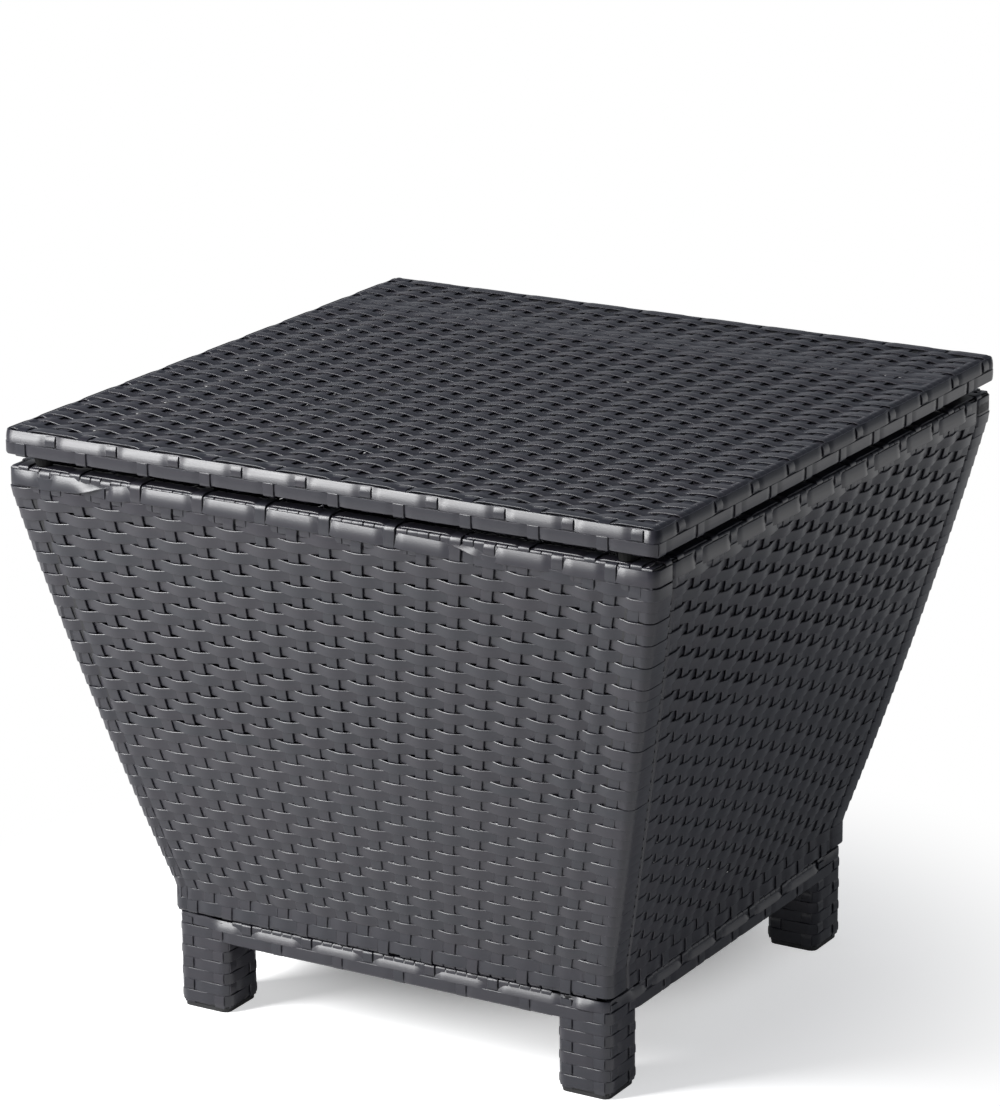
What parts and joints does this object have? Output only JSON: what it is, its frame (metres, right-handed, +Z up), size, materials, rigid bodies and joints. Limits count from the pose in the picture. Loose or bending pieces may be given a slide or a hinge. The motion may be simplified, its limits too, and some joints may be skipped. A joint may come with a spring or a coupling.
{
  "type": "propane tank cover table",
  "caption": "Square wicker side table whose tapered open-bottom cabinet hides a gas cylinder, on a low base with short legs, under a loose lift-off wicker lid.",
  "frame": {"origin": "on the ground under the middle of the table", "axes": "+Z up out of the lid, front panel towards -Y, +X to the right seen from the front"},
  "size_m": [0.6, 0.6, 0.5137],
  "materials": {
    "resin_wicker": "satin",
    "coated_steel_tube": "satin",
    "rubber": "matte",
    "end_cap_plastic": "matte",
    "zinc_bolt": "satin"
  },
  "bodies": {
    "cabinet": {"back_base_bolt": "zinc_bolt", "back_left_leg": "coated_steel_tube", "back_left_leg_cap": "end_cap_plastic", "back_left_lower_corner_bolt": "zinc_bolt", "back_left_upper_corner_bolt": "zinc_bolt", "back_panel_bottom_rail": "coated_steel_tube", "back_panel_left_post": "coated_steel_tube", "back_panel_right_post": "coated_steel_tube", "back_panel_top_rail": "coated_steel_tube", "back_panel_weave": "resin_wicker", "back_right_leg": "coated_steel_tube", "back_right_leg_cap": "end_cap_plastic", "back_right_lower_corner_bolt": "zinc_bolt", "back_right_upper_corner_bolt": "zinc_bolt", "base_back_rail": "coated_steel_tube", "base_front_rail": "coated_steel_tube", "base_left_rail": "coated_steel_tube", "base_right_rail": "coated_steel_tube", "base_weave": "resin_wicker", "front_base_bolt": "zinc_bolt", "front_left_leg": "coated_steel_tube", "front_left_leg_cap": "end_cap_plastic", "front_left_lower_corner_bolt": "zinc_bolt", "front_left_upper_corner_bolt": "zinc_bolt", "front_panel_bottom_rail": "coated_steel_tube", "front_panel_left_post": "coated_steel_tube", "front_panel_right_post": "coated_steel_tube", "front_panel_top_rail": "coated_steel_tube", "front_panel_weave": "resin_wicker", "front_right_leg": "coated_steel_tube", "front_right_leg_cap": "end_cap_plastic", "front_right_lower_corner_bolt": "zinc_bolt", "front_right_upper_corner_bolt": "zinc_bolt", "left_base_bolt": "zinc_bolt", "left_panel_bottom_rail": "coated_steel_tube", "left_panel_left_post": "coated_steel_tube", "left_panel_right_post": "coated_steel_tube", "left_panel_top_rail": "coated_steel_tube", "left_panel_weave": "resin_wicker", "right_base_bolt": "zinc_bolt", "right_panel_bottom_rail": "coated_steel_tube", "right_panel_left_post": "coated_steel_tube", "right_panel_right_post": "coated_steel_tube", "right_panel_top_rail": "coated_steel_tube", "right_panel_weave": "resin_wicker"},
    "lid": {"lid_bumper_back_left": "rubber", "lid_bumper_back_right": "rubber", "lid_bumper_front_left": "rubber", "lid_bumper_front_right": "rubber", "lid_crossbar_left": "coated_steel_tube", "lid_crossbar_right": "coated_steel_tube", "lid_frame_back": "coated_steel_tube", "lid_frame_front": "coated_steel_tube", "lid_frame_left": "coated_steel_tube", "lid_frame_right": "coated_steel_tube", "lid_weave_edge": "resin_wicker", "lid_weave_top": "resin_wicker"}
  },
  "joints": [
    {"name": "lid_lift", "type": "slide", "parent": "cabinet", "child": "lid", "axis": [0, 0, 1], "range_m": [0, 0.25]}
  ]
}
